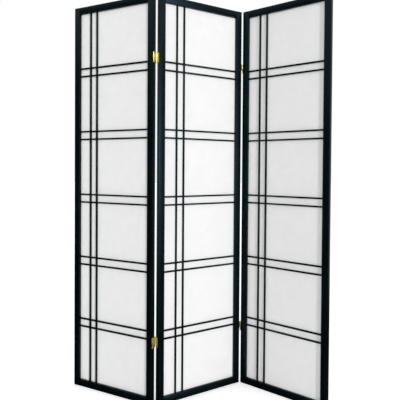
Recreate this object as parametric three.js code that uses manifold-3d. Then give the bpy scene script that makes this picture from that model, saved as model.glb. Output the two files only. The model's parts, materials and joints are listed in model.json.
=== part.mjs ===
// A three-panel folding screen of lacquered wood, paper and brass, standing in a zigzag.
// Lengths are millimetres and +Z is up. The lattice side faces -Y, and the origin is the
// middle of the footprint, on the floor.
import * as THREE from "three";
import { mergeVertices } from "three/addons/utils/BufferGeometryUtils.js";
import Module from "manifold-3d";

const wasm = await Module();
wasm.setup();

// Fit: the play between two pieces that seat on each other, and how far a cutter runs past.
const PLAY = 0.3;
const OVERCUT = 1;

// Panel frame: two full-height stiles with two rails between them.
const PANEL_WIDTH = 440;
const PANEL_HEIGHT = 1784;
const PANEL_THICKNESS = 19;
const MEMBER_FACE = 31;
const ARRIS_RADIUS = 1.2;
const ARRIS_SEGMENTS = 1;
const TENON_LENGTH = 14;
const TENON_THICKNESS = 6;
const TENON_WIDTH = 19;

// Lattice: two uprights near the panel's left edge, and pairs of crossbars between equal panes.
const STRIP_FACE = 7;
const STRIP_DEPTH = 8;
const STRIP_SETBACK = 3.5;
const STRIP_CHAMFER = 0.6;
const STRIP_SEAT = 4;
const STRIP_SPACING = 36;
const FIRST_UPRIGHT = 91.5;
const PAIR_COUNT = 5;
const SPINE_PAIRS = [2, 4];

// Paper: one sheet behind the strips, its edges in a groove round the frame.
const PAPER_THICKNESS = 0.5;
const PAPER_SEAT = 5.5;

// Two-way hinge: two leaves and a centre plate, on a pin before and a pin behind the panels.
const HINGE_HEIGHT = 44;
const HINGE_FROM_BOTTOM = 275;
const HINGE_FROM_TOP = 271;
const SHEET_THICKNESS = 1;
const SHEET_PLAY = 0.35;
const LEAF_SEAT = 0.2;
const LEAF_WIDTH = 18.5;
const LEAF_CORNER = 3;
const KNUCKLE_RADIUS = 2.8;
const PIN_RADIUS = 1.3;
const PIN_HEAD_RADIUS = 2.3;
const PIN_HEAD_RIM = 0.5;
const PIN_HEAD_SHOULDER = 1;
const PIN_HEAD_HEIGHT = 1.2;
const PIN_PROUD = 2.4;
const SCREW_SPACING = 12;
const SCREW_COUNT = 3;
const SCREW_HOLE_RADIUS = 1.7;
const COUNTERSINK_RADIUS = 3.2;
const PILOT_RADIUS = 1.3;
const PILOT_DEPTH = 16;
const ROUND_SEGMENTS = 12;
const KNUCKLE_SEGMENTS = 10;
const CORNER_SEGMENTS = 3;

// Stance: how far the middle panel turns from the row, and how far each fold is open.
const MIDDLE_TURN = 31.8;
const LEFT_FOLD = 58.8;
const RIGHT_FOLD = 70;

// What follows from the driving dimensions.
const INNER_WIDTH = PANEL_WIDTH - 2 * MEMBER_FACE;
const INNER_HEIGHT = PANEL_HEIGHT - 2 * MEMBER_FACE;
const STRIP_BACK = STRIP_SETBACK + STRIP_DEPTH;
const LAP_PLANE = STRIP_SETBACK + STRIP_DEPTH / 2;
const PAPER_FRONT = STRIP_BACK + PLAY;
const PAPER_BACK = PAPER_FRONT + PAPER_THICKNESS;
const PAIR_WIDTH = STRIP_SPACING + STRIP_FACE;
const PANE_HEIGHT = (INNER_HEIGHT - PAIR_COUNT * PAIR_WIDTH) / (PAIR_COUNT + 1);
const UPRIGHTS = [FIRST_UPRIGHT, FIRST_UPRIGHT + STRIP_SPACING];
const FOLD_GAP = 3 * SHEET_THICKNESS + 2 * SHEET_PLAY + 2 * LEAF_SEAT;
const BORE_RADIUS = PIN_RADIUS + PLAY;
const KNUCKLE_RELIEF = KNUCKLE_RADIUS + SHEET_PLAY - PIN_PROUD;
const HINGE_LEVELS = { lower: HINGE_FROM_BOTTOM, upper: PANEL_HEIGHT - HINGE_FROM_TOP };

const lacquer = new THREE.MeshStandardMaterial({ color: 0x14171a, roughness: 0.42, metalness: 0 });
const paper = new THREE.MeshStandardMaterial({ color: 0xf4f4f0, roughness: 0.9, metalness: 0 });
const brass = new THREE.MeshStandardMaterial({ color: 0xd2b45a, roughness: 0.35, metalness: 1 });

const radians = THREE.MathUtils.degToRad;

// A closed geometry as a solid that can be joined and cut.
function solidOf(geometry) {
  const bare = geometry.clone();
  bare.deleteAttribute("normal");
  bare.deleteAttribute("uv");
  const merged = mergeVertices(bare, 1e-4);
  return new wasm.Manifold(
    new wasm.Mesh({
      numProp: 3,
      vertProperties: merged.attributes.position.array,
      triVerts: new Uint32Array(merged.index.array),
    }),
  );
}

// A solid back as a flat-shaded geometry.
function geometryOf(solid) {
  const mesh = solid.getMesh();
  const indexed = new THREE.BufferGeometry();
  indexed.setAttribute("position", new THREE.BufferAttribute(mesh.vertProperties, 3));
  indexed.setIndex(new THREE.BufferAttribute(mesh.triVerts, 1));
  const flat = indexed.toNonIndexed();
  flat.computeVertexNormals();
  return flat;
}

function meshOf(name, geometry, material) {
  const mesh = new THREE.Mesh(geometry, material);
  mesh.name = name;
  return mesh;
}

// A box between two limits on each axis.
function block([x0, x1], [y0, y1], [z0, z1]) {
  const box = new THREE.BoxGeometry(x1 - x0, y1 - y0, z1 - z0);
  return solidOf(box.translate((x0 + x1) / 2, (y0 + y1) / 2, (z0 + z1) / 2));
}

const around = (centre, width) => [centre - width / 2, centre + width / 2];
const cutAll = (solid, cutters) => cutters.reduce((rest, cutter) => rest.subtract(cutter), solid);
const joinAll = (solids) => solids.reduce((whole, solid) => whole.add(solid));

// A section drawn in X and Y, drawn out upwards.
function drawnUp(section, length, curveSegments) {
  return new THREE.ExtrudeGeometry(section, { depth: length, bevelEnabled: false, curveSegments });
}

// The same, drawn out along +X: the section's width stands upright and starts at the floor.
function drawnAcross(section, width, length, curveSegments) {
  return drawnUp(section, length, curveSegments).rotateY(Math.PI / 2).translate(0, 0, width);
}

// Section of a stile or rail: a rectangle with its four long edges rounded over.
function memberSection() {
  const r = ARRIS_RADIUS;
  const right = MEMBER_FACE - r;
  const back = PANEL_THICKNESS - r;
  const section = new THREE.Shape();
  section.absarc(r, r, r, Math.PI, 1.5 * Math.PI);
  section.absarc(right, r, r, 1.5 * Math.PI, 2 * Math.PI);
  section.absarc(right, back, r, 0, 0.5 * Math.PI);
  section.absarc(r, back, r, 0.5 * Math.PI, Math.PI);
  section.closePath();
  return section;
}

// Section of a lattice strip: its two front edges are chamfered.
function stripSection() {
  const half = STRIP_FACE / 2;
  const section = new THREE.Shape();
  section.moveTo(STRIP_CHAMFER - half, STRIP_SETBACK);
  section.lineTo(half - STRIP_CHAMFER, STRIP_SETBACK);
  section.lineTo(half, STRIP_SETBACK + STRIP_CHAMFER);
  section.lineTo(half, STRIP_BACK);
  section.lineTo(-half, STRIP_BACK);
  section.lineTo(-half, STRIP_SETBACK + STRIP_CHAMFER);
  section.closePath();
  return section;
}

// Centre heights of the two crossbars of a pair, counted from 1 at the bottom.
function pairHeights(pair) {
  const bottom = MEMBER_FACE + pair * PANE_HEIGHT + (pair - 1) * PAIR_WIDTH;
  const lower = bottom + STRIP_FACE / 2;
  return { lower, upper: lower + STRIP_SPACING };
}

const PAIRS = Array.from({ length: PAIR_COUNT }, (unused, index) => index + 1);
const CROSSBARS = PAIRS.flatMap((pair) => Object.values(pairHeights(pair)));
const LOOSE_PAIRS = PAIRS.filter((pair) => !SPINE_PAIRS.includes(pair));
const LOOSE_CROSSBARS = LOOSE_PAIRS.flatMap((pair) => Object.values(pairHeights(pair)));

// Limits in Y of the groove that holds the paper and of the pockets that take the strips' ends.
const GROOVE_LIMITS = [PAPER_FRONT - PLAY, PAPER_BACK + PLAY];
const POCKET_LIMITS = [STRIP_SETBACK - PLAY, STRIP_BACK + PLAY];
const POCKET_WIDTH = STRIP_FACE + 2 * PLAY;

// Screw heights on a leaf, from the leaf's middle.
const SCREW_OFFSETS = Array.from(
  { length: SCREW_COUNT },
  (unused, row) => (row - (SCREW_COUNT - 1) / 2) * SCREW_SPACING,
);

// Screw heights on one stile, for both hinges.
function screwHeights() {
  const levels = Object.values(HINGE_LEVELS);
  return levels.flatMap((level) => SCREW_OFFSETS.map((offset) => level + offset));
}

// A blind pilot hole for a hinge screw, from the stile's outer edge at x = 0 inwards.
function pilotHole(height, sign) {
  const length = PILOT_DEPTH + OVERCUT;
  const drill = new THREE.CylinderGeometry(PILOT_RADIUS, PILOT_RADIUS, length, ROUND_SEGMENTS);
  drill.rotateZ(Math.PI / 2);
  drill.translate(sign * (length / 2 - OVERCUT), PANEL_THICKNESS / 2, height);
  return solidOf(drill);
}

// A stile with its groove, strip pockets, rail mortises and, on a hinged edge, pilot holes.
function stile(side, hinged) {
  const left = side === "left";
  const across = (from, to) => (left ? [from, to] : [PANEL_WIDTH - to, PANEL_WIDTH - from]);
  const start = left ? 0 : PANEL_WIDTH - MEMBER_FACE;
  const inner = MEMBER_FACE + OVERCUT;
  const wood = drawnUp(memberSection(), PANEL_HEIGHT, ARRIS_SEGMENTS).translate(start, 0, 0);
  const groove = block(
    across(MEMBER_FACE - PAPER_SEAT - PLAY, inner),
    GROOVE_LIMITS,
    [MEMBER_FACE - PAPER_SEAT - PLAY, PANEL_HEIGHT - MEMBER_FACE + PAPER_SEAT + PLAY],
  );
  const pockets = CROSSBARS.map((height) =>
    block(across(MEMBER_FACE - STRIP_SEAT - PLAY, inner), POCKET_LIMITS, around(height, POCKET_WIDTH)),
  );
  const mortises = [MEMBER_FACE / 2, PANEL_HEIGHT - MEMBER_FACE / 2].map((height) =>
    block(
      across(MEMBER_FACE - TENON_LENGTH - PLAY, inner),
      around(PANEL_THICKNESS / 2, TENON_THICKNESS + 2 * PLAY),
      around(height, TENON_WIDTH + 2 * PLAY),
    ),
  );
  const edge = left ? 0 : PANEL_WIDTH;
  const pilots = hinged
    ? screwHeights().map((height) => pilotHole(height, left ? 1 : -1).translate([edge, 0, 0]))
    : [];
  return geometryOf(cutAll(solidOf(wood), [groove, ...pockets, ...mortises, ...pilots]));
}

// A rail between the stiles: a stub tenon at each end, the groove and two strip pockets.
function rail(level) {
  const top = level === "top";
  const upwards = (from, to) => (top ? [PANEL_HEIGHT - to, PANEL_HEIGHT - from] : [from, to]);
  const start = MEMBER_FACE + PLAY;
  const length = INNER_WIDTH - 2 * PLAY;
  const inner = MEMBER_FACE + OVERCUT;
  const wood = drawnAcross(memberSection(), MEMBER_FACE, length, ARRIS_SEGMENTS);
  wood.translate(start, 0, upwards(0, MEMBER_FACE)[0]);
  const tenon = block(
    [MEMBER_FACE - TENON_LENGTH, PANEL_WIDTH - MEMBER_FACE + TENON_LENGTH],
    around(PANEL_THICKNESS / 2, TENON_THICKNESS),
    around(top ? PANEL_HEIGHT - MEMBER_FACE / 2 : MEMBER_FACE / 2, TENON_WIDTH),
  );
  const groove = block(
    [MEMBER_FACE - TENON_LENGTH - OVERCUT, PANEL_WIDTH - MEMBER_FACE + TENON_LENGTH + OVERCUT],
    GROOVE_LIMITS,
    upwards(MEMBER_FACE - PAPER_SEAT - PLAY, inner),
  );
  const pockets = UPRIGHTS.map((x) =>
    block(around(x, POCKET_WIDTH), POCKET_LIMITS, upwards(MEMBER_FACE - STRIP_SEAT - PLAY, inner)),
  );
  return geometryOf(cutAll(solidOf(wood).add(tenon), [groove, ...pockets]));
}

// A crossbar, before its notches, with its ends in the stiles' pockets.
function crossbarBlank(height) {
  const bar = drawnAcross(stripSection(), 0, INNER_WIDTH + 2 * STRIP_SEAT, 1);
  return solidOf(bar.translate(MEMBER_FACE - STRIP_SEAT, 0, height));
}

// A loose crossbar: its front half is notched away where the uprights pass before it.
function crossbar(height) {
  const notches = UPRIGHTS.map((x) =>
    block(around(x, POCKET_WIDTH), [0, LAP_PLANE + PLAY / 2], around(height, POCKET_WIDTH)),
  );
  return geometryOf(cutAll(crossbarBlank(height), notches));
}

// An upright, its back half notched away where the loose crossbars pass behind it.
function upright(x) {
  const bar = drawnUp(stripSection(), INNER_HEIGHT + 2 * STRIP_SEAT, 1);
  bar.translate(x, 0, MEMBER_FACE - STRIP_SEAT);
  const notches = LOOSE_CROSSBARS.map((height) =>
    block(around(x, POCKET_WIDTH), [LAP_PLANE - PLAY / 2, PAPER_FRONT], around(height, POCKET_WIDTH)),
  );
  return cutAll(solidOf(bar), notches);
}

// The two uprights, glued up with the crossbar pairs that square the lattice.
function latticeSpine() {
  const glued = SPINE_PAIRS.flatMap((pair) => Object.values(pairHeights(pair)));
  return geometryOf(joinAll([...UPRIGHTS.map(upright), ...glued.map(crossbarBlank)]));
}

function paperSheet() {
  const overhang = MEMBER_FACE - PAPER_SEAT;
  const sheet = new THREE.BoxGeometry(
    PANEL_WIDTH - 2 * overhang,
    PAPER_THICKNESS,
    PANEL_HEIGHT - 2 * overhang,
  );
  return sheet.translate(PANEL_WIDTH / 2, (PAPER_FRONT + PAPER_BACK) / 2, PANEL_HEIGHT / 2);
}

// Section of a leaf on the left panel's edge at x = 0: a flat plate that runs into a knuckle
// round the pin. X is measured from the stile's edge and Y from the panel's front face.
function leafSection() {
  const outer = LEAF_SEAT + SHEET_THICKNESS;
  const pinX = FOLD_GAP / 2;
  const angleAt = (x) => Math.PI - Math.acos((pinX - x) / KNUCKLE_RADIUS);
  const section = new THREE.Shape();
  section.moveTo(LEAF_SEAT, LEAF_WIDTH);
  section.absarc(pinX, -PIN_PROUD, KNUCKLE_RADIUS, angleAt(LEAF_SEAT), angleAt(outer) + 2 * Math.PI);
  section.lineTo(outer, LEAF_WIDTH);
  section.closePath();
  const bore = new THREE.Path();
  bore.absarc(pinX, -PIN_PROUD, BORE_RADIUS, 0, 2 * Math.PI);
  section.holes.push(bore);
  return section;
}

// Section of the centre plate, round the middle of its own thickness: a knuckle at each end.
function plateSection() {
  const half = SHEET_THICKNESS / 2;
  const meeting = Math.asin(half / KNUCKLE_RADIUS);
  const front = -PIN_PROUD;
  const back = PANEL_THICKNESS + PIN_PROUD;
  const section = new THREE.Shape();
  const up = 0.5 * Math.PI;
  section.absarc(0, front, KNUCKLE_RADIUS, up + meeting, up - meeting + 2 * Math.PI);
  section.absarc(0, back, KNUCKLE_RADIUS, meeting - up, 1.5 * Math.PI - meeting);
  section.closePath();
  for (const y of [front, back]) {
    const bore = new THREE.Path();
    bore.absarc(0, y, BORE_RADIUS, 0, 2 * Math.PI);
    section.holes.push(bore);
  }
  return section;
}

// Face outline, in Y and Z, that a leaf is stamped to: the knuckle takes the lower half.
function leafOutline() {
  const knuckleFront = -PIN_PROUD - KNUCKLE_RADIUS - OVERCUT;
  const split = (HINGE_HEIGHT - PLAY) / 2;
  const r = LEAF_CORNER;
  const outline = new THREE.Shape();
  outline.moveTo(knuckleFront, 0);
  outline.absarc(LEAF_WIDTH - r, r, r, -0.5 * Math.PI, 0);
  outline.absarc(LEAF_WIDTH - r, HINGE_HEIGHT - r, r, 0, 0.5 * Math.PI);
  outline.lineTo(KNUCKLE_RELIEF, HINGE_HEIGHT);
  outline.lineTo(KNUCKLE_RELIEF, split);
  outline.lineTo(knuckleFront, split);
  outline.closePath();
  return outline;
}

// Face outline of the centre plate: knuckles on the upper half, cleared below for the leaves'.
function plateOutline() {
  const front = -PIN_PROUD - KNUCKLE_RADIUS - OVERCUT;
  const back = PANEL_THICKNESS - front;
  const split = (HINGE_HEIGHT + PLAY) / 2;
  const outline = new THREE.Shape();
  outline.moveTo(KNUCKLE_RELIEF, 0);
  outline.lineTo(PANEL_THICKNESS - KNUCKLE_RELIEF, 0);
  outline.lineTo(PANEL_THICKNESS - KNUCKLE_RELIEF, split);
  outline.lineTo(back, split);
  outline.lineTo(back, HINGE_HEIGHT);
  outline.lineTo(front, HINGE_HEIGHT);
  outline.lineTo(front, split);
  outline.lineTo(KNUCKLE_RELIEF, split);
  outline.closePath();
  return outline;
}

// A face outline as a solid, wide enough in X to hold the whole hinge section.
function stamped(outline) {
  const span = FOLD_GAP + 2 * KNUCKLE_RADIUS;
  const plate = drawnUp(outline, 2 * span, CORNER_SEGMENTS);
  const turned = new THREE.Matrix4().makeBasis(
    new THREE.Vector3(0, 1, 0),
    new THREE.Vector3(0, 0, 1),
    new THREE.Vector3(1, 0, 0),
  );
  return solidOf(plate.applyMatrix4(turned).translate(-span, 0, 0));
}

// A countersunk screw hole through a leaf, widest on the face away from the stile.
function screwHole(height) {
  const slope = (COUNTERSINK_RADIUS - SCREW_HOLE_RADIUS) / SHEET_THICKNESS;
  const spread = slope * OVERCUT;
  const cone = new THREE.CylinderGeometry(
    SCREW_HOLE_RADIUS,
    COUNTERSINK_RADIUS + spread,
    SHEET_THICKNESS + OVERCUT,
    ROUND_SEGMENTS,
  );
  cone.rotateZ(Math.PI / 2);
  cone.translate(LEAF_SEAT + (SHEET_THICKNESS + OVERCUT) / 2, PANEL_THICKNESS / 2, height);
  return solidOf(cone);
}

function hingeLeaf() {
  const rolled = solidOf(drawnUp(leafSection(), HINGE_HEIGHT, KNUCKLE_SEGMENTS));
  const holes = SCREW_OFFSETS.map((offset) => screwHole(HINGE_HEIGHT / 2 + offset));
  return geometryOf(cutAll(rolled.intersect(stamped(leafOutline())), holes));
}

function centrePlate() {
  const rolled = solidOf(drawnUp(plateSection(), HINGE_HEIGHT, KNUCKLE_SEGMENTS));
  return geometryOf(rolled.intersect(stamped(plateOutline())));
}

// A hinge pin with a domed head peened over at each end.
function hingePin() {
  const top = HINGE_HEIGHT + PLAY;
  const profile = [
    [0, -PLAY - PIN_HEAD_HEIGHT],
    [PIN_RADIUS, -PLAY - PIN_HEAD_SHOULDER],
    [PIN_HEAD_RADIUS, -PLAY - PIN_HEAD_RIM],
    [PIN_HEAD_RADIUS, -PLAY],
    [PIN_RADIUS, -PLAY],
    [PIN_RADIUS, top],
    [PIN_HEAD_RADIUS, top],
    [PIN_HEAD_RADIUS, top + PIN_HEAD_RIM],
    [PIN_RADIUS, top + PIN_HEAD_SHOULDER],
    [0, top + PIN_HEAD_HEIGHT],
  ].map(([radius, height]) => new THREE.Vector2(radius, height));
  return new THREE.LatheGeometry(profile, ROUND_SEGMENTS).rotateX(Math.PI / 2);
}

const leafGeometry = hingeLeaf();
const plateGeometry = centrePlate();
const pinGeometry = hingePin();

// One panel, in its own frame: the left bottom corner of its front face is the origin.
function panel(name, hingedEdges) {
  const group = new THREE.Group();
  for (const side of ["left", "right"]) {
    group.add(meshOf(`${name}_${side}_stile`, stile(side, hingedEdges.includes(side)), lacquer));
  }
  for (const level of ["bottom", "top"]) {
    group.add(meshOf(`${name}_${level}_rail`, rail(level), lacquer));
  }
  group.add(meshOf(`${name}_lattice_spine`, latticeSpine(), lacquer));
  for (const pair of LOOSE_PAIRS) {
    for (const [level, height] of Object.entries(pairHeights(pair))) {
      group.add(meshOf(`${name}_crossbar_${pair}_${level}`, crossbar(height), lacquer));
    }
  }
  group.add(meshOf(`${name}_paper`, paperSheet(), paper));
  return group;
}

// The leaves of a panel's right edge hang on the front pin, those of its left edge on the
// back pin. Both are the same stamping, turned half round.
function addLeaves(group, fold, edge) {
  for (const [level, height] of Object.entries(HINGE_LEVELS)) {
    const right = edge === "right";
    const leaf = meshOf(`${fold}_${level}_${right ? "front" : "back"}_leaf`, leafGeometry, brass);
    leaf.position.set(right ? PANEL_WIDTH : 0, right ? 0 : PANEL_THICKNESS, height - HINGE_HEIGHT / 2);
    leaf.rotation.z = right ? 0 : Math.PI;
    group.add(leaf);
  }
}

// The centre plates of one fold with their two pins each. The plates' middle is x = 0, and
// Y is measured from the front face of the panel that the plates are closed against.
function foldPlates(fold) {
  const group = new THREE.Group();
  for (const [level, height] of Object.entries(HINGE_LEVELS)) {
    const bottom = height - HINGE_HEIGHT / 2;
    const plate = meshOf(`${fold}_${level}_centre_plate`, plateGeometry, brass);
    plate.position.z = bottom;
    group.add(plate);
    for (const [place, y] of [["front", -PIN_PROUD], ["back", PANEL_THICKNESS + PIN_PROUD]]) {
      const pin = meshOf(`${fold}_${level}_${place}_pin`, pinGeometry, brass);
      pin.position.set(0, y, bottom);
      group.add(pin);
    }
  }
  return group;
}

const leftPanel = panel("left_panel", ["right"]);
const middlePanel = panel("middle_panel", ["left", "right"]);
const rightPanel = panel("right_panel", ["left"]);
addLeaves(leftPanel, "left_fold", "right");
addLeaves(middlePanel, "left_fold", "left");
addLeaves(middlePanel, "right_fold", "right");
addLeaves(rightPanel, "right_fold", "left");

// The left fold turns on its back pin, at the middle panel's left edge, and its plates stay
// closed against the left panel.
const leftPlates = foldPlates("left_fold");
leftPanel.position.x = -PANEL_WIDTH - FOLD_GAP / 2;
leftPlates.add(leftPanel);
leftPlates.position.y = -PANEL_THICKNESS - PIN_PROUD;
const leftFold = new THREE.Group();
leftFold.add(leftPlates);
leftFold.position.set(-FOLD_GAP / 2, PANEL_THICKNESS + PIN_PROUD, 0);
leftFold.rotation.z = -radians(LEFT_FOLD);
middlePanel.add(leftFold);

// The right fold turns on its front pin, at the middle panel's right edge, and its plates
// stay closed against the right panel.
const rightPlates = foldPlates("right_fold");
rightPanel.position.x = FOLD_GAP / 2;
rightPlates.add(rightPanel);
rightPlates.position.y = PIN_PROUD;
const rightFold = new THREE.Group();
rightFold.add(rightPlates);
rightFold.position.set(PANEL_WIDTH + FOLD_GAP / 2, -PIN_PROUD, 0);
rightFold.rotation.z = -radians(RIGHT_FOLD);
middlePanel.add(rightFold);

// The whole screen, moved so that the middle of its footprint is the origin.
const screen = new THREE.Group();
middlePanel.rotation.z = radians(MIDDLE_TURN);
screen.add(middlePanel);
screen.updateMatrixWorld(true);
const middle = new THREE.Box3().setFromObject(screen, true).getCenter(new THREE.Vector3());
middlePanel.position.set(-middle.x, -middle.y, 0);

export default screen;
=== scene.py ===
# The three-panel folding screen, dressed: lacquer grain, fibre paper, brushed brass and screws.
# Lengths are metres and +Z is up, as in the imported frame.
import json
import math

import bmesh
import bpy
from mathutils import Matrix, Vector


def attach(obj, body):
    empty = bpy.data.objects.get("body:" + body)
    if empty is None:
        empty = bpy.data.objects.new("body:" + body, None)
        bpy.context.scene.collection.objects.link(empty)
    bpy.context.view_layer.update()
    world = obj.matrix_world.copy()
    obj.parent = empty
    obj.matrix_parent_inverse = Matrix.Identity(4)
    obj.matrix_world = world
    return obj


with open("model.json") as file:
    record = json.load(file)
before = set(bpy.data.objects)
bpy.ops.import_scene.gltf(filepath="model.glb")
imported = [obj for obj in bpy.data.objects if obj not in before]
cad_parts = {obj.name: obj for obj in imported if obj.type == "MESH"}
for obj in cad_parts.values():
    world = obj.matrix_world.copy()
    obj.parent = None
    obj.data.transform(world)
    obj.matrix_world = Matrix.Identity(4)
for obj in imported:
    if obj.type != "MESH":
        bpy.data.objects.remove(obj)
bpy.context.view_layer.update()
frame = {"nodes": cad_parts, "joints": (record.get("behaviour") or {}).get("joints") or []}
NODES = frame["nodes"]
PINS = {joint["name"]: joint["pos_m"] for joint in frame["joints"]}


# ---------------------------------------------------------------- sizes and places

PANEL_WIDTH = 0.440
PANEL_THICKNESS = 0.019
# The middles of a panel's two lattice uprights, from its left edge.
UPRIGHTS = (0.0915, 0.1275)
STRIP_FACE = 0.007

# The gap between two panels in one plane, how far a pin stands before or behind their faces
# and how far a leaf's free face stands off the stile that it is screwed to.
FOLD_GAP = 0.0041
PIN_PROUD = 0.0024
LEAF_FACE = 0.0012
HINGE_LEVELS = {"lower": 0.275, "upper": 1.513}
SCREW_SPACING = 0.012

# How far the middle panel turns from the row, and how far each fold is open, in degrees.
MIDDLE_TURN = 31.8
LEFT_FOLD = 58.8
RIGHT_FOLD = 70.0

# Where a fold's pins stand, measured from the corner of the panel on their left or right.
FRONT_PIN_ON_LEFT = Vector((PANEL_WIDTH + FOLD_GAP / 2, -PIN_PROUD))
BACK_PIN_ON_RIGHT = Vector((-FOLD_GAP / 2, PANEL_THICKNESS + PIN_PROUD))


def stance(pin, place, turn):
    """A panel's front left corner on the floor and its turn about +Z, from one of its pins."""
    offset = Matrix.Rotation(math.radians(turn), 2) @ place
    return (PINS[pin][0] - offset.x, PINS[pin][1] - offset.y), turn


PANELS = {
    "left_panel": stance("left_fold_front_pin", FRONT_PIN_ON_LEFT, MIDDLE_TURN - LEFT_FOLD),
    "middle_panel": stance("right_fold_front_pin", FRONT_PIN_ON_LEFT, MIDDLE_TURN),
    "right_panel": stance("right_fold_back_pin", BACK_PIN_ON_RIGHT, MIDDLE_TURN - RIGHT_FOLD),
}


# ---------------------------------------------------------------- shader helpers

WHITE = (1.0, 1.0, 1.0, 1.0)


def add(tree, kind, inputs=None, **settings):
    """A new node with its settings, and its inputs linked or filled in."""
    made = tree.nodes.new(kind)
    for key, value in settings.items():
        setattr(made, key, value)
    for key, value in (inputs or {}).items():
        if isinstance(value, bpy.types.NodeSocket):
            tree.links.new(value, made.inputs[key])
        else:
            made.inputs[key].default_value = value
    return made


def maths(tree, operation, *values):
    return add(tree, "ShaderNodeMath", dict(enumerate(values)), operation=operation).outputs[0]


def blend(tree, first, second, share):
    """Two values added up, with this share for the second."""
    return maths(tree, "ADD", maths(tree, "MULTIPLY", first, 1.0 - share),
                 maths(tree, "MULTIPLY", second, share))


def scaled(tree, vector, factors):
    return add(tree, "ShaderNodeVectorMath", {0: vector, 1: factors},
               operation="MULTIPLY").outputs[0]


def moved(tree, vector, shift):
    return add(tree, "ShaderNodeVectorMath", {0: vector, 1: shift}).outputs[0]


def noise(tree, vector, scale, detail=2.0, roughness=0.5, distortion=0.0):
    return add(tree, "ShaderNodeTexNoise",
               {"Vector": vector, "Scale": scale, "Detail": detail,
                "Roughness": roughness, "Distortion": distortion}).outputs["Fac"]


def spread(tree, value, low, high, to_low=0.0, to_high=1.0):
    """value, taken from low..high to to_low..to_high and held there."""
    return add(tree, "ShaderNodeMapRange",
               {"Value": value, "From Min": low, "From Max": high,
                "To Min": to_low, "To Max": to_high}).outputs["Result"]


def mixed(tree, factor, first, second):
    """Two colours or vectors mixed: the first where factor is 0, the second where it is 1."""
    made = add(tree, "ShaderNodeMix", data_type="RGBA")
    for key, value in (("Factor", factor), ("A", first), ("B", second)):
        socket = next(held for held in made.inputs if held.name == key and held.enabled)
        if isinstance(value, bpy.types.NodeSocket):
            tree.links.new(value, socket)
        else:
            socket.default_value = value
    return next(held for held in made.outputs if held.enabled)


def bump(tree, height, distance, strength, below=None):
    """A bumped normal, on top of the one below it."""
    inputs = {"Height": height, "Distance": distance, "Strength": strength}
    if below is not None:
        inputs["Normal"] = below
    return add(tree, "ShaderNodeBump", inputs).outputs["Normal"]


def new_material(name):
    """An empty material, its tree and its output node."""
    material = bpy.data.materials.new(name)
    material.use_nodes = True
    tree = material.node_tree
    tree.nodes.clear()
    return material, tree, add(tree, "ShaderNodeOutputMaterial")


def object_place(tree):
    return add(tree, "ShaderNodeTexCoord").outputs["Object"]


def panel_place(tree, panel):
    """The position on a panel, in the panel's own frame: x along it, y through it, z up."""
    (x, y), turn = PANELS[panel]
    back = -math.radians(turn)
    shift = -(Matrix.Rotation(back, 3, "Z") @ Vector((x, y, 0.0)))
    return add(tree, "ShaderNodeMapping",
               {"Vector": object_place(tree), "Location": shift,
                "Rotation": (0.0, 0.0, back)}).outputs["Vector"]


# ---------------------------------------------------------------- lacquered wood

GRAIN_STRETCH = 0.035
ALONG_Z = (1.0, 1.0, GRAIN_STRETCH)
ALONG_X = (GRAIN_STRETCH, 1.0, 1.0)
# The upright grain reaches a hair past the uprights' sides.
GRAIN_OVERLAP = 0.0001

RING_SCALE = 85.0
PORE_SCALE = 900.0
PEEL_SCALE = 420.0
PATCH_SCALE = 5.0
PATCH_SHARE = 0.45

LACQUER_DEEP = (0.0006, 0.0014, 0.0019, 1.0)
LACQUER_PALE = (0.0017, 0.0040, 0.0050, 1.0)
LACQUER_SHINE = 0.20
COOL_SHINE = (0.38, 0.82, 1.0, 1.0)


def grain_space(tree, place, run):
    """Coordinates drawn out along the grain: up a stile or upright, along a rail or crossbar."""
    if run == "upright":
        return scaled(tree, place, ALONG_Z)
    if run == "level":
        return scaled(tree, place, ALONG_X)
    x = add(tree, "ShaderNodeSeparateXYZ", {"Vector": place}).outputs["X"]
    on_uprights = [
        maths(tree, "LESS_THAN", maths(tree, "ABSOLUTE", maths(tree, "SUBTRACT", x, centre)),
              STRIP_FACE / 2 + GRAIN_OVERLAP)
        for centre in UPRIGHTS
    ]
    return mixed(tree, maths(tree, "MAXIMUM", *on_uprights), scaled(tree, place, ALONG_X),
                 scaled(tree, place, ALONG_Z))


def lacquer(panel, run):
    """Black satin lacquer over a faint grain, which runs upright, level or as in a lattice."""
    material, tree, output = new_material(f"lacquer_{panel}_{run}")
    place = panel_place(tree, panel)
    along = grain_space(tree, place, run)
    rings = noise(tree, along, RING_SCALE, detail=3.0, roughness=0.55, distortion=0.35)
    pores = noise(tree, along, PORE_SCALE, detail=2.0, roughness=0.6)
    peel = noise(tree, place, PEEL_SCALE, detail=1.0)
    patches = noise(tree, place, PATCH_SCALE, detail=2.0)
    tone = blend(tree, rings, patches, PATCH_SHARE)
    colour = mixed(tree, spread(tree, tone, low=0.34, high=0.66), LACQUER_DEEP, LACQUER_PALE)
    rough = maths(tree, "ADD",
                  spread(tree, rings, low=0.3, high=0.7, to_low=0.36, to_high=0.46),
                  spread(tree, patches, low=0.3, high=0.7, to_low=-0.03, to_high=0.04))
    normal = bump(tree, rings, distance=0.0006, strength=0.22)
    normal = bump(tree, spread(tree, pores, low=0.42, high=0.6),
                  distance=0.00012, strength=0.35, below=normal)
    normal = bump(tree, peel, distance=0.00015, strength=0.18, below=normal)
    surface = add(tree, "ShaderNodeBsdfPrincipled",
                  {"Base Color": colour, "Roughness": rough, "Normal": normal,
                   "Specular IOR Level": LACQUER_SHINE, "Specular Tint": COOL_SHINE})
    tree.links.new(surface.outputs[0], output.inputs["Surface"])
    return material


# ---------------------------------------------------------------- paper

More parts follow.
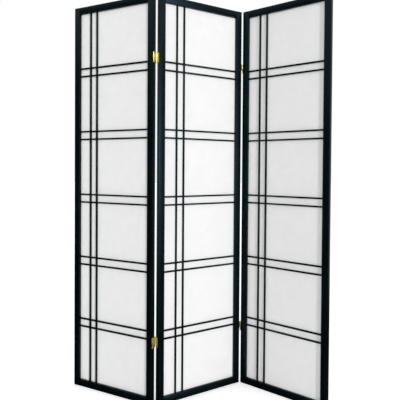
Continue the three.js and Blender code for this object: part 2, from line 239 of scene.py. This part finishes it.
# Each layer of fibres: its shift in the noise, its scale, the width of its lines and the
# value of the second noise above which they show.
FIBRE_LAYERS = (
    ((0.0, 0.0, 0.0), 8.0, 0.0022, 0.53),
    ((3.1, 1.7, 5.3), 10.0, 0.0026, 0.54),
    ((7.9, 4.3, 2.2), 12.0, 0.0030, 0.54),
    ((1.3, 9.1, 6.4), 15.0, 0.0034, 0.56),
)
GATE_TO_FIBRE_SCALE = 2.3
GATE_FADE = 0.05
FIBRE_SHARE = 0.5
# Moves each sheet to its own part of the noise.
SHEET_SHIFT = 2.7

CLOUD_SCALE = 26.0
FUZZ_SCALE = 520.0
FUZZ_SHARE = 0.25

# Reflected and transmitted colours where the pulp is thin, where it is dense and on a fibre.
THIN_FACE = (0.836, 0.841, 0.843, 1.0)
DENSE_FACE = (0.914, 0.918, 0.919, 1.0)
FIBRE_FACE = (0.945, 0.944, 0.936, 1.0)
THIN_GLOW = (0.88, 0.88, 0.875, 1.0)
DENSE_GLOW = (0.84, 0.84, 0.83, 1.0)
FIBRE_GLOW = (0.76, 0.755, 0.74, 1.0)
GLOW_SHARE = 0.42
PAPER_ROUGHNESS = 0.82
PAPER_SHINE = 0.25


def fibres(tree, place):
    """Long curved fibres: thin level lines of noise, broken up by a second noise."""
    layers = []
    for shift, scale, width, gate in FIBRE_LAYERS:
        there = moved(tree, place, shift)
        field = noise(tree, there, scale, detail=1.0, roughness=0.3, distortion=0.4)
        away = maths(tree, "ABSOLUTE", maths(tree, "SUBTRACT", field, 0.5))
        line = spread(tree, away, low=0.0, high=width, to_low=1.0, to_high=0.0)
        shown = spread(tree, noise(tree, there, scale * GATE_TO_FIBRE_SCALE, detail=0.0),
                       low=gate, high=gate + GATE_FADE)
        layers.append(maths(tree, "MULTIPLY", line, shown))
    total = layers[0]
    for layer in layers[1:]:
        total = maths(tree, "MAXIMUM", total, layer)
    return total


def paper(panel):
    """White fibre paper that both reflects light and lets it through."""
    material, tree, output = new_material(f"paper_{panel}")
    shift = list(PANELS).index(panel) * SHEET_SHIFT
    place = moved(tree, panel_place(tree, panel), (shift, shift, shift))
    lines = fibres(tree, place)
    fibre = maths(tree, "MULTIPLY", lines, FIBRE_SHARE)
    cloud = noise(tree, place, CLOUD_SCALE, detail=4.0, roughness=0.62)
    fuzz = noise(tree, place, FUZZ_SCALE, detail=2.0)
    density = blend(tree, cloud, fuzz, FUZZ_SHARE)
    body = mixed(tree, spread(tree, density, low=0.34, high=0.66), THIN_FACE, DENSE_FACE)
    through = mixed(tree, spread(tree, density, low=0.3, high=0.7), THIN_GLOW, DENSE_GLOW)
    normal = bump(tree, lines, distance=0.00015, strength=0.3)
    normal = bump(tree, density, distance=0.0004, strength=0.25, below=normal)
    face = add(tree, "ShaderNodeBsdfPrincipled",
               {"Base Color": mixed(tree, fibre, body, FIBRE_FACE), "Normal": normal,
                "Roughness": PAPER_ROUGHNESS, "Specular IOR Level": PAPER_SHINE})
    glow = add(tree, "ShaderNodeBsdfTranslucent",
               {"Color": mixed(tree, fibre, through, FIBRE_GLOW), "Normal": normal})
    surface = add(tree, "ShaderNodeMixShader",
                  {0: GLOW_SHARE, 1: face.outputs[0], 2: glow.outputs[0]})
    tree.links.new(surface.outputs[0], output.inputs["Surface"])
    return material


# ---------------------------------------------------------------- brass

BRUSH_SCALE = 1500.0
TARNISH_SCALE = 90.0
SPOT_SCALE = 420.0

# Clean and tarnished colours of the leaves and pins, and the brown of the spots. The screws take
# a second pair of brass colours, much darker all over than the leaves.
LEMON_BRASS = ((0.83, 0.75, 0.27, 1.0), (0.62, 0.52, 0.14, 1.0))
DARK_SCREW_BRASS = ((0.34, 0.26, 0.08, 1.0), (0.22, 0.16, 0.05, 1.0))
BROWN_SPOT = (0.50, 0.38, 0.12, 1.0)
METAL_SHARE = 0.86

# How the scratches are drawn out: up a sheet, round a turned pin, and every way.
BRUSHED_UP = (1.0, 1.0, 0.06)
BRUSHED_ROUND = (0.3, 0.3, 1.0)
UNBRUSHED = (1.0, 1.0, 1.0)


def brass(name, brush, tones):
    material, tree, output = new_material(name)
    place = object_place(tree)
    brushed = noise(tree, scaled(tree, place, brush), BRUSH_SCALE, detail=3.0, roughness=0.6)
    tarnish = noise(tree, place, TARNISH_SCALE, detail=4.0, roughness=0.6)
    spots = noise(tree, place, SPOT_SCALE, detail=2.0)
    colour = mixed(tree, spread(tree, tarnish, low=0.40, high=0.70), *tones)
    colour = mixed(tree, spread(tree, spots, low=0.64, high=0.80, to_high=0.4), colour,
                   BROWN_SPOT)
    rough = maths(tree, "ADD",
                  spread(tree, brushed, low=0.3, high=0.7, to_low=0.26, to_high=0.40),
                  spread(tree, tarnish, low=0.4, high=0.7, to_high=0.12))
    normal = bump(tree, brushed, distance=0.00002, strength=0.2)
    surface = add(tree, "ShaderNodeBsdfPrincipled",
                  {"Base Color": colour, "Roughness": rough, "Normal": normal,
                   "Metallic": METAL_SHARE})
    tree.links.new(surface.outputs[0], output.inputs["Surface"])
    return material


# ---------------------------------------------------------------- softened edges

WELD_REACH = 0.00001
BEVEL_OVER = math.radians(30.0)
SHARP_OVER = math.radians(40.0)


def soften_group():
    """Geometry nodes: smooth-shaded faces, whose edges over SHARP_OVER stay sharp."""
    group = bpy.data.node_groups.new("soften", "GeometryNodeTree")
    for in_out in ("INPUT", "OUTPUT"):
        group.interface.new_socket("Geometry", in_out=in_out,
                                   socket_type="NodeSocketGeometry")
    start = add(group, "NodeGroupInput").outputs[0]
    bare = add(group, "GeometryNodeRemoveAttribute",
               {"Geometry": start, "Name": "custom_normal"}).outputs[0]
    smooth = add(group, "GeometryNodeSetShadeSmooth",
                 {"Geometry": bare, "Shade Smooth": True}, domain="FACE").outputs[0]
    angle = add(group, "GeometryNodeInputMeshEdgeAngle").outputs["Unsigned Angle"]
    gentle = add(group, "FunctionNodeCompare", {0: angle, 1: SHARP_OVER},
                 data_type="FLOAT", operation="LESS_THAN").outputs[0]
    edged = add(group, "GeometryNodeSetShadeSmooth",
                {"Geometry": smooth, "Shade Smooth": gentle}, domain="EDGE").outputs[0]
    add(group, "NodeGroupOutput", {0: edged})
    return group


SOFTEN = soften_group()


def soften(piece, width, segments=1):
    """Welds a piece's faces, rounds its edges over BEVEL_OVER and shades it smooth."""
    weld = piece.modifiers.new("weld", "WELD")
    weld.merge_threshold = WELD_REACH
    bevel = piece.modifiers.new("bevel", "BEVEL")
    bevel.width = width
    bevel.segments = segments
    bevel.limit_method = "ANGLE"
    bevel.angle_limit = BEVEL_OVER
    shade = piece.modifiers.new("shade", "NODES")
    shade.node_group = SOFTEN


# ---------------------------------------------------------------- dressing the CAD nodes

FRAME_BEVEL = 0.0004
FRAME_BEVEL_SEGMENTS = 2
STRIP_BEVEL = 0.0002
BRASS_BEVEL = 0.00012


def coat(name, material):
    """Gives a CAD node its one material."""
    piece = NODES[name]
    piece.data.materials.clear()
    piece.data.materials.append(material)
    return piece


def dress_panel(panel):
    upright = lacquer(panel, "upright")
    level = lacquer(panel, "level")
    lattice = lacquer(panel, "lattice")
    sheet = paper(panel)
    for name in NODES:
        if not name.startswith(panel):
            continue
        if name.endswith("paper"):
            coat(name, sheet)
        elif name.endswith("stile"):
            soften(coat(name, upright), FRAME_BEVEL, FRAME_BEVEL_SEGMENTS)
        elif name.endswith("rail"):
            soften(coat(name, level), FRAME_BEVEL, FRAME_BEVEL_SEGMENTS)
        elif name.endswith("spine"):
            soften(coat(name, lattice), STRIP_BEVEL)
        else:
            soften(coat(name, level), STRIP_BEVEL)


def dress_hinges():
    sheet = brass("brass_sheet", BRUSHED_UP, LEMON_BRASS)
    turned = brass("brass_turned", BRUSHED_ROUND, LEMON_BRASS)
    for name in NODES:
        if "_fold_" in name:
            soften(coat(name, turned if name.endswith("pin") else sheet), BRASS_BEVEL)


# ---------------------------------------------------------------- meshes and objects

def mesh_data(name, mesh):
    """Blender's mesh data from a bmesh, which is freed."""
    data = bpy.data.meshes.new(name)
    mesh.to_mesh(data)
    mesh.free()
    return data


def placed(name, data):
    """A new object in the scene."""
    piece = bpy.data.objects.new(name, data)
    bpy.context.scene.collection.objects.link(piece)
    return piece


# ---------------------------------------------------------------- hinge screws

HEAD_RADIUS = 0.00295
SHANK_RADIUS = 0.0012
ROUND = 24
# Radius and depth of the rings from the rim of the head down to the tip.
SCREW_RINGS = ((HEAD_RADIUS, 0.0), (HEAD_RADIUS, 0.00006), (0.00155, 0.00096),
               (SHANK_RADIUS, 0.00115), (SHANK_RADIUS, 0.0125), (0.0003, 0.0150))
SCREW_BEVEL = 0.00008

# The cross recess: an arm's reach and half its width at the mouth, the shares of them that are
# left at the bottom, and the depth.
RECESS_REACH = 0.00165
RECESS_HALF = 0.0004
REACH_LEFT = 0.6
HALF_LEFT = 0.7
RECESS_DEPTH = 0.0007

# Each screw's recess is turned this much further than the last one's, in radians.
NEXT_TURN = 1.13

# The leaves, with the panel and the edge that each is screwed to.
LEAVES = (
    ("left_fold_front", "left_panel", "right"),
    ("left_fold_back", "middle_panel", "left"),
    ("right_fold_front", "middle_panel", "right"),
    ("right_fold_back", "right_panel", "left"),
)


def ring(mesh, radius, height):
    turns = [2 * math.pi * step / ROUND for step in range(ROUND)]
    return [
        mesh.verts.new((radius * math.cos(turn), radius * math.sin(turn), height))
        for turn in turns
    ]


def cross(mesh, reach, half, height):
    """The twelve corners of a cross, anticlockwise."""
    arm = [(half, half), (half, reach), (-half, reach)]
    quarter_turns = ((1, 0), (0, 1), (-1, 0), (0, -1))
    return [
        mesh.verts.new((x * c - y * s, x * s + y * c, height))
        for c, s in quarter_turns
        for x, y in arm
    ]


def join_loops(mesh, outer, inner):
    """Faces between two loops of points."""
    edges = []
    for loop in (outer, inner):
        for first, second in zip(loop, loop[1:] + loop[:1]):
            edges.append(mesh.edges.get((first, second)) or mesh.edges.new((first, second)))
    bmesh.ops.bridge_loops(mesh, edges=edges)


def screw_mesh():
    """A countersunk screw with a cross recess; its head is flush at z = 0 and it points down."""
    mesh = bmesh.new()
    loops = [ring(mesh, radius, -depth) for radius, depth in SCREW_RINGS]
    for outer, inner in zip(loops, loops[1:]):
        join_loops(mesh, outer, inner)
    mesh.faces.new(loops[-1])
    mouth = cross(mesh, RECESS_REACH, RECESS_HALF, 0.0)
    bottom = cross(mesh, RECESS_REACH * REACH_LEFT, RECESS_HALF * HALF_LEFT, -RECESS_DEPTH)
    join_loops(mesh, loops[0], mouth)
    join_loops(mesh, mouth, bottom)
    mesh.faces.new(bottom)
    bmesh.ops.recalc_face_normals(mesh, faces=mesh.faces)
    return mesh_data("hinge_screw", mesh)


def place_screw(name, panel, edge, height, turn, material):
    """A screw in the leaf on a panel's left or right edge."""
    (x, y), panel_turn = PANELS[panel]
    if edge == "right":
        along, facing = PANEL_WIDTH + LEAF_FACE, math.pi / 2
    else:
        along, facing = -LEAF_FACE, -math.pi / 2
    corner = Matrix.Translation((x, y, 0.0)) @ Matrix.Rotation(math.radians(panel_turn), 4, "Z")
    seat = Matrix.Translation((along, PANEL_THICKNESS / 2, height))
    piece = placed(name, screw_mesh())
    piece.matrix_world = (corner @ seat @ Matrix.Rotation(facing, 4, "Y")
                          @ Matrix.Rotation(turn, 4, "Z"))
    piece.data.materials.append(material)
    soften(piece, SCREW_BEVEL)
    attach(piece, panel)


def place_screws():
    material = brass("brass_screw", UNBRUSHED, DARK_SCREW_BRASS)
    turn = 0.0
    for leaf, panel, edge in LEAVES:
        for level, middle in HINGE_LEVELS.items():
            for number in (1, 2, 3):
                turn += NEXT_TURN
                height = middle + (number - 2) * SCREW_SPACING
                place_screw(f"{leaf}_{level}_screw_{number}", panel, edge, height, turn,
                            material)


# ---------------------------------------------------------------- floor and world

FLOOR_HALF = 30.0
# Just under the feet, so that the two faces don't coincide.
FLOOR_LEVEL = -0.0004
FLOOR_COLOUR = (0.84, 0.84, 0.84, 1.0)
FLOOR_ROUGHNESS = 0.7
FLOOR_SHINE = 0.1
# What the floor is brightened by, up to white, where it is seen directly.
FLOOR_LIFT = 0.44
AMBIENT = 0.764
BACKDROP = 1.0


def seen_directly(tree):
    """1 for rays from the camera and for mirrored and transmitted ones, 0 for the others."""
    path = add(tree, "ShaderNodeLightPath").outputs
    direct = maths(tree, "MAXIMUM", path["Is Camera Ray"], path["Is Glossy Ray"])
    return maths(tree, "MAXIMUM", direct, path["Is Transmission Ray"])


def make_floor():
    """A pale floor that looks white and keeps the screen's shadow."""
    mesh = bmesh.new()
    corners = [mesh.verts.new((x * FLOOR_HALF, y * FLOOR_HALF, FLOOR_LEVEL))
               for x, y in ((-1, -1), (1, -1), (1, 1), (-1, 1))]
    mesh.faces.new(corners)
    floor = placed("floor", mesh_data("floor", mesh))
    material, tree, output = new_material("floor")
    ground = add(tree, "ShaderNodeBsdfPrincipled",
                 {"Base Color": FLOOR_COLOUR, "Roughness": FLOOR_ROUGHNESS,
                  "Specular IOR Level": FLOOR_SHINE})
    lift = add(tree, "ShaderNodeEmission",
               {"Color": WHITE,
                "Strength": maths(tree, "MULTIPLY", seen_directly(tree), FLOOR_LIFT)})
    both = add(tree, "ShaderNodeAddShader", {0: ground.outputs[0], 1: lift.outputs[0]})
    tree.links.new(both.outputs[0], output.inputs["Surface"])
    floor.data.materials.append(material)


def make_world():
    """Soft light all round, and a white backdrop for what is seen directly."""
    world = bpy.data.worlds.new("studio")
    bpy.context.scene.world = world
    world.use_nodes = True
    tree = world.node_tree
    tree.nodes.clear()
    soft = add(tree, "ShaderNodeBackground", {"Color": WHITE, "Strength": AMBIENT})
    backdrop = add(tree, "ShaderNodeBackground", {"Color": WHITE, "Strength": BACKDROP})
    both = add(tree, "ShaderNodeMixShader",
               {0: seen_directly(tree), 1: soft.outputs[0], 2: backdrop.outputs[0]})
    output = add(tree, "ShaderNodeOutputWorld")
    tree.links.new(both.outputs[0], output.inputs["Surface"])


# ---------------------------------------------------------------- key light

# Degrees: the azimuth is from -Y towards +X.
KEY_AZIMUTH = 28.0
KEY_ELEVATION = 9.0
KEY_SPREAD = 5.0
KEY_STRENGTH = 1.92


def on_circle(azimuth, radius, height):
    """A point at an azimuth in degrees from -Y towards +X."""
    turn = math.radians(azimuth)
    return (radius * math.sin(turn), -radius * math.cos(turn), height)


def make_key():
    lamp = bpy.data.lights.new("key", "SUN")
    lamp.energy = KEY_STRENGTH
    lamp.angle = math.radians(KEY_SPREAD)
    elevation = math.radians(KEY_ELEVATION)
    towards = Vector(on_circle(KEY_AZIMUTH, math.cos(elevation), math.sin(elevation)))
    key = placed("key", lamp)
    key.rotation_euler = towards.to_track_quat("Z", "Y").to_euler()


# ---------------------------------------------------------------- flags

# Black studio flags that only mirrored rays meet, so that the lacquer stays deep. A wall has
# its first and last azimuth, and its lowest and highest edge. The gap on the right is the
# bright window.
FLAG_WALLS = {
    "flag_left": (-120.0, -18.0, 0.0, 3.6),
    "flag_right_low": (36.0, 100.0, 0.0, 0.85),
    "flag_right_high": (36.0, 100.0, 1.95, 3.6),
}
GROUND_FLAG = (-120.0, 96.0)
GROUND_FLAG_LEVEL = -0.0002
FLAG_RADIUS = 4.0
FLAG_STEP = 6.0
FLAG_BLACK = (0.004, 0.004, 0.004, 1.0)


def arc(start, end, height):
    """Points round the screen from one azimuth to another, about FLAG_STEP apart."""
    steps = round((end - start) / FLAG_STEP)
    return [on_circle(start + (end - start) * step / steps, FLAG_RADIUS, height)
            for step in range(steps + 1)]


def make_flag(name, outlines, material):
    mesh = bmesh.new()
    for outline in outlines:
        mesh.faces.new([mesh.verts.new(corner) for corner in outline])
    flag = placed(name, mesh_data(name, mesh))
    flag.data.materials.append(material)
    for kind in ("camera", "diffuse", "transmission", "volume_scatter", "shadow"):
        setattr(flag, f"visible_{kind}", False)


def make_flags():
    material, tree, output = new_material("flag")
    cloth = add(tree, "ShaderNodeBsdfDiffuse", {"Color": FLAG_BLACK})
    tree.links.new(cloth.outputs[0], output.inputs["Surface"])
    for name, (start, end, low, high) in FLAG_WALLS.items():
        bottom = arc(start, end, low)
        top = arc(start, end, high)
        wall = list(zip(bottom, bottom[1:], top[1:], top))
        make_flag(name, wall, material)
    make_flag("flag_ground", [arc(*GROUND_FLAG, GROUND_FLAG_LEVEL)], material)


# ---------------------------------------------------------------- camera

# Fitted to the photograph: the focal length and the centre's row are in pixels of a square
# image of IMAGE pixels, and the angles are in degrees.
IMAGE = 400
FOCAL = 463.4
CENTRE_ROW = 176.37
PITCH_DOWN = 1.014
ROLL = 0.385
CAMERA_PLACE = (0.0181, -2.1063, 1.0368)
SENSOR = 36.0


def make_camera():
    data = bpy.data.cameras.new("camera")
    data.sensor_width = SENSOR
    data.lens = FOCAL / IMAGE * SENSOR
    data.shift_y = (CENTRE_ROW - IMAGE / 2) / IMAGE
    camera = placed("camera", data)
    tilt = Matrix.Rotation(math.pi / 2 - math.radians(PITCH_DOWN), 4, "X")
    lean = Matrix.Rotation(math.radians(ROLL), 4, "Z")
    camera.matrix_world = Matrix.Translation(CAMERA_PLACE) @ tilt @ lean
    bpy.context.scene.camera = camera


# ---------------------------------------------------------------- the scene

for each_panel in PANELS:
    dress_panel(each_panel)
dress_hinges()
place_screws()
make_floor()
make_world()
make_key()
make_flags()
make_camera()
bpy.context.scene.view_settings.view_transform = "Standard"

bpy.context.view_layer.update()
